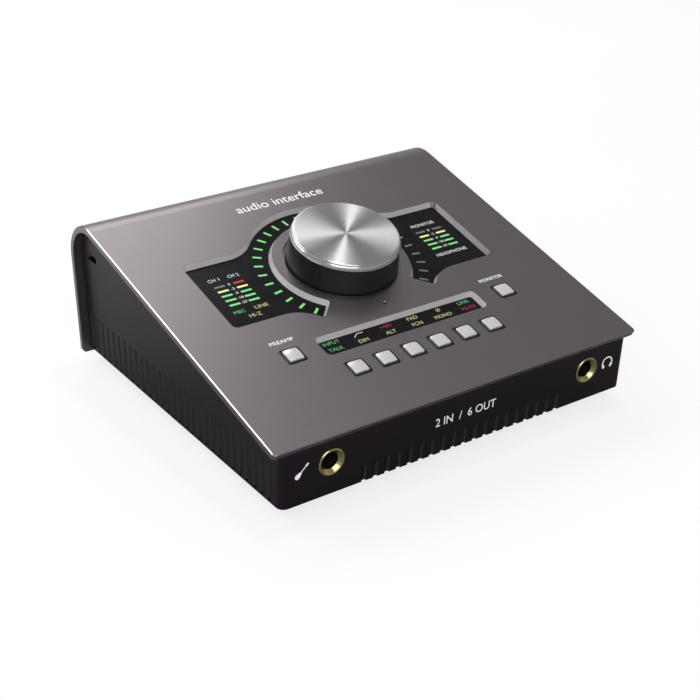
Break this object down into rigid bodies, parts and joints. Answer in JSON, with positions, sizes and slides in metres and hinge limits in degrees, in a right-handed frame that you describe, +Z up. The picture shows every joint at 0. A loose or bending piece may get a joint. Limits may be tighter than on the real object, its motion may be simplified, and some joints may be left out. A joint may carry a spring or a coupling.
{
  "type": "audio interface",
  "caption": "Desktop audio interface: bent metal cover sloping over a slotted chassis, level knob, push buttons, smoked display windows and jacks.",
  "frame": {"origin": "on the floor under the middle of the object's width and depth", "axes": "+X to the right along the front edge, +Y to the rear connectors, +Z up"},
  "size_m": [0.1602, 0.1486, 0.066],
  "materials": {
    "cover_aluminium": "dark grey anodised, bead blasted satin",
    "chassis_black": "matt black powder coat",
    "bottom_black": "matt black powder coat",
    "foot_rubber": "matt black rubber",
    "plated_steel": "zinc plated steel",
    "black_steel": "black oxide steel",
    "pillar_metal": "turned aluminium",
    "smoked_lens": "smoked acrylic, polished",
    "baffle_black": "matt black moulded plastic",
    "light_green": "lit green light guide",
    "light_yellow": "lit yellow light guide",
    "light_red": "lit red light guide",
    "light_off": "unlit grey light guide",
    "spun_aluminium": "radially spun bright aluminium",
    "knob_black": "satin black",
    "encoder_grey": "moulded dark grey plastic",
    "encoder_steel": "nickel plated steel",
    "switch_black": "moulded black plastic",
    "button_rim": "moulded dark grey plastic",
    "button_silver": "satin silver face",
    "microphone": "plain metal capsule",
    "mic_rubber": "black rubber",
    "circuit_board": "green solder mask",
    "header_black": "moulded black plastic",
    "cable_grey": "grey ribbon",
    "chip_black": "moulded epoxy",
    "heat_sink_black": "black anodised",
    "relay_plastic": "moulded white plastic",
    "capacitor_can": "sleeved aluminium can",
    "jack_black": "moulded black plastic",
    "gold_plate": "gold plated brass",
    "rear_plastic": "moulded black plastic",
    "port_steel": "nickel plated steel",
    "rocker_plastic": "moulded black plastic"
  },
  "bodies": {
    "housing": {"top_cover": "cover_aluminium", "chassis_walls": "chassis_black", "bottom_plate": "bottom_black", "rubber_feet": "foot_rubber", "pan_screws": "plated_steel", "flush_screws": "black_steel", "board_pillars": "pillar_metal", "window_lens": "smoked_lens", "legend_lens": "smoked_lens", "light_baffles": "baffle_black", "encoder_body": "encoder_grey", "encoder_nut": "encoder_steel", "tact_switches": "switch_black", "button_guides": "switch_black", "talkback_mic": "microphone", "talkback_mic_boot": "mic_rubber", "control_board": "circuit_board", "board_headers": "header_black", "ribbon_cable": "cable_grey", "main_board": "circuit_board", "board_chips": "chip_black", "heat_sink": "heat_sink_black", "relays": "relay_plastic", "capacitors": "capacitor_can", "front_jacks": "jack_black", "front_jack_nuts": "gold_plate", "rear_board": "circuit_board", "combo_housings": "rear_plastic", "combo_inserts": "rear_plastic", "line_jacks": "rear_plastic", "optical_socket": "rear_plastic", "computer_port": "port_steel", "power_inlet": "rear_plastic", "power_switch_body": "rear_plastic", "light_guides_green": "light_green", "light_guides_yellow": "light_yellow", "light_guides_red": "light_red", "light_guides_unlit": "light_off"},
    "encoder_rotor": {"encoder_rotor": "encoder_grey"},
    "level_knob": {"encoder_shaft": "encoder_steel", "level_knob_skirt": "knob_black", "level_knob_cap": "spun_aluminium"},
    "power_rocker": {"power_rocker": "rocker_plastic"},
    "optical_shutter": {"optical_shutter": "rear_plastic"},
    "button_select_1": {"button_plunger_select_1": "button_rim", "button_cap_select_1": "button_silver"},
    "button_select_2": {"button_plunger_select_2": "button_rim", "button_cap_select_2": "button_silver"},
    "button_select_3": {"button_plunger_select_3": "button_rim", "button_cap_select_3": "button_silver"},
    "button_select_4": {"button_plunger_select_4": "button_rim", "button_cap_select_4": "button_silver"},
    "button_select_5": {"button_plunger_select_5": "button_rim", "button_cap_select_5": "button_silver"},
    "button_select_6": {"button_plunger_select_6": "button_rim", "button_cap_select_6": "button_silver"},
    "button_preamp": {"button_plunger_preamp": "button_rim", "button_cap_preamp": "button_silver"},
    "button_monitor": {"button_plunger_monitor": "button_rim", "button_cap_monitor": "button_silver"}
  },
  "joints": [
    {"name": "level_turn", "type": "hinge", "parent": "housing", "child": "encoder_rotor", "pos_m": [0, 0.00471, 0.04891], "axis": [0, -0.2406, 0.9706], "continuous": true},
    {"name": "level_push", "type": "slide", "parent": "encoder_rotor", "child": "level_knob", "axis": [0, 0.2406, -0.9706], "range_m": [0, 0.0005], "stiffness_N_per_m": 2000, "springref_m": -0.001},
    {"name": "press_select_1", "type": "slide", "parent": "housing", "child": "button_select_1", "axis": [0, 0.2406, -0.9706], "range_m": [0, 0.0005], "stiffness_N_per_m": 1500, "springref_m": -0.0003},
    {"name": "press_select_2", "type": "slide", "parent": "housing", "child": "button_select_2", "axis": [0, 0.2406, -0.9706], "range_m": [0, 0.0005], "stiffness_N_per_m": 1500, "springref_m": -0.0003},
    {"name": "press_select_3", "type": "slide", "parent": "housing", "child": "button_select_3", "axis": [0, 0.2406, -0.9706], "range_m": [0, 0.0005], "stiffness_N_per_m": 1500, "springref_m": -0.0003},
    {"name": "press_select_4", "type": "slide", "parent": "housing", "child": "button_select_4", "axis": [0, 0.2406, -0.9706], "range_m": [0, 0.0005], "stiffness_N_per_m": 1500, "springref_m": -0.0003},
    {"name": "press_select_5", "type": "slide", "parent": "housing", "child": "button_select_5", "axis": [0, 0.2406, -0.9706], "range_m": [0, 0.0005], "stiffness_N_per_m": 1500, "springref_m": -0.0003},
    {"name": "press_select_6", "type": "slide", "parent": "housing", "child": "button_select_6", "axis": [0, 0.2406, -0.9706], "range_m": [0, 0.0005], "stiffness_N_per_m": 1500, "springref_m": -0.0003},
    {"name": "press_preamp", "type": "slide", "parent": "housing", "child": "button_preamp", "axis": [0, 0.2406, -0.9706], "range_m": [0, 0.0005], "stiffness_N_per_m": 1500, "springref_m": -0.0003},
    {"name": "press_monitor", "type": "slide", "parent": "housing", "child": "button_monitor", "axis": [0, 0.2406, -0.9706], "range_m": [0, 0.0005], "stiffness_N_per_m": 1500, "springref_m": -0.0003},
    {"name": "power_rock", "type": "hinge", "parent": "housing", "child": "power_rocker", "pos_m": [0.052, 0.06938, 0.03513], "axis": [0, 0.0293, 0.9996], "range_deg": [-16, 0]},
    {"name": "shutter_swing", "type": "hinge", "parent": "housing", "child": "optical_shutter", "pos_m": [0.035, 0.06908, 0.02154], "axis": [1, 0, 0], "range_deg": [-80, 0], "stiffness_Nm_per_rad": 0.001, "springref_deg": 28.65}
  ]
}
